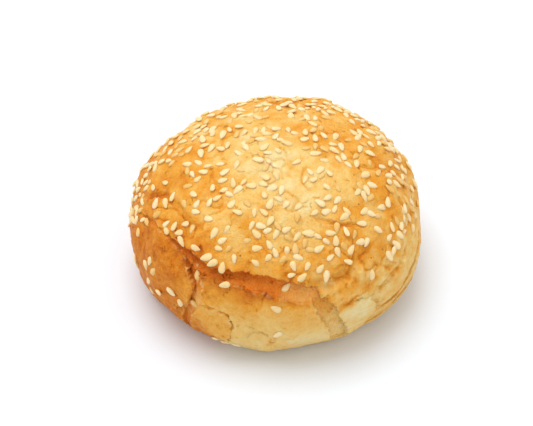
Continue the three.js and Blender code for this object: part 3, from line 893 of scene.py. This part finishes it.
# Unevenness of the browning: the size of its features in millimetres, and its share in the browning
Speckle = namedtuple("Speckle", "feature share")
BLOTCHES = Speckle(7.0, 0.34)
MOTTLING = Speckle(2.2, 0.34)
GRAIN = Speckle(0.6, 0.3)

# Small pits: their spacing in millimetres, and the shares of it between which their edges fade
PIT_SPACING = 6.0
PIT_EDGE = (0.02, 0.06)
PIT_STRENGTH = 0.7

# Fine cracks: spacing and bends in millimetres, width as a share of the spacing, and the mottling that
# they come with
CRACK_SPACING = 6.0
CRACK_BEND = 3.0
CRACK_BEND_FEATURE = 2.0
CRACK_BEND_DETAIL = 3.0
CRACK_WIDTH = 0.035
CRACK_STRENGTH = 0.6
CRACK_BROWNING = 0.25
CRACKED_FROM = (0.07, 0.16)

# Surface of the crust: bumps with pits and cracks sunk into them, dull, and a little light let in
CRUST_ROUGHNESS = 0.5
ROUGHER_WHERE_BARE = 0.1
ROUGHER_BY_MOTTLING = 0.3
BUMPS_BY_MOTTLING = 1.2
PITS_SUNK = -1.2
BUMP_HEIGHT = 0.5
CRUST_SPECULAR = 0.15
CRUST_LIGHT_SHARE = 0.25
CRUST_LIGHT_SPREAD = (1.0, 0.45, 0.15)
CRUST_LIGHT_DEPTH = 1.0


def cracks(tree, place, where):
    """Short thin cracks along crooked lines, only where the given noise is high."""
    bend_scale = 1 / (CRACK_BEND_FEATURE * MM)
    bent = node(tree, "TexNoise", Vector=place, Scale=bend_scale, Detail=CRACK_BEND_DETAIL)
    bend = tree.nodes.new("ShaderNodeVectorMath")
    bend.operation = "MULTIPLY_ADD"
    feed(tree, bend.inputs[0], bent.outputs["Color"])
    bend.inputs[1].default_value = (CRACK_BEND * MM,) * 3
    feed(tree, bend.inputs[2], place)
    lines = node(tree, "TexVoronoi", Vector=bend.outputs[0], Scale=1 / (CRACK_SPACING * MM))
    lines.feature = "DISTANCE_TO_EDGE"
    on_line = map_range(tree, lines.outputs["Distance"], 0.0, CRACK_WIDTH, CRACK_STRENGTH, 0.0)
    return math_node(tree, "MULTIPLY", on_line, map_range(tree, where, *CRACKED_FROM, 0.0, 1.0))


def make_crust_material():
    material, tree, shader = new_material("baked crust")
    place = tree.nodes.new("ShaderNodeTexCoord").outputs["Object"]
    blotches = speckle(tree, place, BLOTCHES.feature)
    mottling = speckle(tree, place, MOTTLING.feature)
    grain = speckle(tree, place, GRAIN.feature)
    is_crack = cracks(tree, place, mottling)
    tone = add_share(tree, attribute(tree, "browning"), blotches, BLOTCHES.share)
    tone = add_share(tree, tone, mottling, MOTTLING.share)
    tone = add_share(tree, tone, grain, GRAIN.share)
    tone = add_share(tree, tone, is_crack, CRACK_BROWNING)
    bare = attribute(tree, "bare")
    colour = mix_colours(tree, bare, ramp(tree, tone, CRUST_COLOURS), ramp(tree, tone, BARE_COLOURS))
    # Pale edges, partly flaking crust and partly a painted highlight
    colour = mix_colours(tree, attribute(tree, "pale"), colour, FLAKE_AND_HIGHLIGHT_COLOUR)
    pits = node(tree, "TexVoronoi", Vector=place, Scale=1 / (PIT_SPACING * MM))
    is_pit = map_range(tree, pits.outputs["Distance"], *PIT_EDGE, PIT_STRENGTH, 0.0)
    colour = mix_colours(tree, is_pit, colour, PIT_COLOUR)
    tree.links.new(colour, shader.inputs["Base Color"])
    rougher = math_node(tree, "MULTIPLY", mottling, ROUGHER_BY_MOTTLING)
    rougher = add_share(tree, rougher, bare, ROUGHER_WHERE_BARE)
    tree.links.new(math_node(tree, "ADD", rougher, CRUST_ROUGHNESS), shader.inputs["Roughness"])
    height = add_share(tree, grain, mottling, BUMPS_BY_MOTTLING)
    height = add_share(tree, height, math_node(tree, "MAXIMUM", is_pit, is_crack), PITS_SUNK)
    bump = node(tree, "Bump", Height=height, Strength=1.0, Distance=BUMP_HEIGHT * MM)
    tree.links.new(bump.outputs[0], shader.inputs["Normal"])
    shader.inputs["Specular IOR Level"].default_value = CRUST_SPECULAR
    let_light_in(shader, CRUST_LIGHT_SHARE, CRUST_LIGHT_SPREAD, CRUST_LIGHT_DEPTH)
    return material


SEED_COLOURS = [
    (0.0, srgb(238, 213, 167)),
    (0.4, srgb(234, 200, 138)),
    (1.0, srgb(223, 176, 94)),
]
SEED_MOTTLING = Speckle(0.9, 0.3)
SEED_ROUGHNESS = 0.45
SEED_ROUGHER_BY_MOTTLING = 0.2
SEED_SPECULAR = 0.35
SEED_LIGHT_SHARE = 0.6
SEED_LIGHT_SPREAD = (1.0, 0.75, 0.4)
SEED_LIGHT_DEPTH = 1.2


def make_seed_material():
    material, tree, shader = new_material("toasted sesame")
    place = tree.nodes.new("ShaderNodeTexCoord").outputs["Object"]
    mottling = speckle(tree, place, SEED_MOTTLING.feature)
    tone = add_share(tree, attribute(tree, "toast"), mottling, SEED_MOTTLING.share)
    tree.links.new(ramp(tree, tone, SEED_COLOURS), shader.inputs["Base Color"])
    rougher = math_node(tree, "MULTIPLY", mottling, SEED_ROUGHER_BY_MOTTLING)
    tree.links.new(math_node(tree, "ADD", rougher, SEED_ROUGHNESS), shader.inputs["Roughness"])
    shader.inputs["Specular IOR Level"].default_value = SEED_SPECULAR
    let_light_in(shader, SEED_LIGHT_SHARE, SEED_LIGHT_SPREAD, SEED_LIGHT_DEPTH)
    return material


# The studio

# A white table in a white tent of light, with one soft lamp; the floor's size is in metres and the
# spread of the lamp in degrees
FLOOR_HALF_SIZE = 4
FLOOR_COLOUR = (0.77, 0.812, 0.875, 1)
FLOOR_ROUGHNESS = 0.8
FLOOR_GLOW = 0.01
WHITE = (1, 1, 1, 1)
TENT_COLOUR = (1, 0.975, 0.935, 1)
TENT_STRENGTH = 0.9
KEY_STRENGTH = 1.6
KEY_COLOUR = (0.965, 0.985, 1)
KEY_SPREAD = 42
KEY_DIRECTION = (-0.17, 0.17, 1)


def make_floor():
    bm = bmesh.new()
    bmesh.ops.create_grid(bm, x_segments=1, y_segments=1, size=FLOOR_HALF_SIZE)
    mesh = bpy.data.meshes.new("floor")
    bm.to_mesh(mesh)
    bm.free()
    material, tree, shader = new_material("white table")
    shader.inputs["Base Color"].default_value = FLOOR_COLOUR
    shader.inputs["Roughness"].default_value = FLOOR_ROUGHNESS
    shader.inputs["Emission Color"].default_value = WHITE
    shader.inputs["Emission Strength"].default_value = FLOOR_GLOW
    floor = add_piece("floor", mesh, material)


def make_light():
    world = bpy.data.worlds.new("white tent")
    world.use_nodes = True
    background = world.node_tree.nodes["Background"]
    background.inputs["Color"].default_value = TENT_COLOUR
    background.inputs["Strength"].default_value = TENT_STRENGTH
    bpy.context.scene.world = world
    lamp = bpy.data.lights.new("soft key", "SUN")
    lamp.energy = KEY_STRENGTH
    lamp.color = KEY_COLOUR
    lamp.angle = math.radians(KEY_SPREAD)
    key = bpy.data.objects.new("soft key", lamp)
    key.rotation_mode = "QUATERNION"
    key.rotation_quaternion = Vector(KEY_DIRECTION).to_track_quat("Z", "Y")
    bpy.context.scene.collection.objects.link(key)


def make_camera():
    elevation = math.radians(CAMERA_ELEVATION)
    back = Vector((0, -math.cos(elevation), math.sin(elevation)))
    up = Vector((0, math.sin(elevation), math.cos(elevation)))
    aim = Vector((AIM_ASIDE, 0, AIM_HEIGHT)) - up * AIM_DOWN
    lens = bpy.data.cameras.new("camera")
    lens.sensor_width = SENSOR_WIDTH
    lens.lens = FOCAL_PIXELS / PHOTO_WIDTH * SENSOR_WIDTH
    lens.clip_start = NEAREST_SEEN * MM
    camera = bpy.data.objects.new("camera", lens)
    camera.location = (aim + back * CAMERA_DISTANCE) * MM
    camera.rotation_mode = "QUATERNION"
    camera.rotation_quaternion = back.to_track_quat("Z", "Y")
    bpy.context.scene.collection.objects.link(camera)
    bpy.context.scene.camera = camera


make_camera()
make_floor()
make_light()
bpy.context.scene.view_settings.view_transform = "Standard"

crust = make_crust(make_crust_material())
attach(crust, "root")
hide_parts("roll")

seeds = make_seeds(make_seed_material())
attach(seeds, "root")
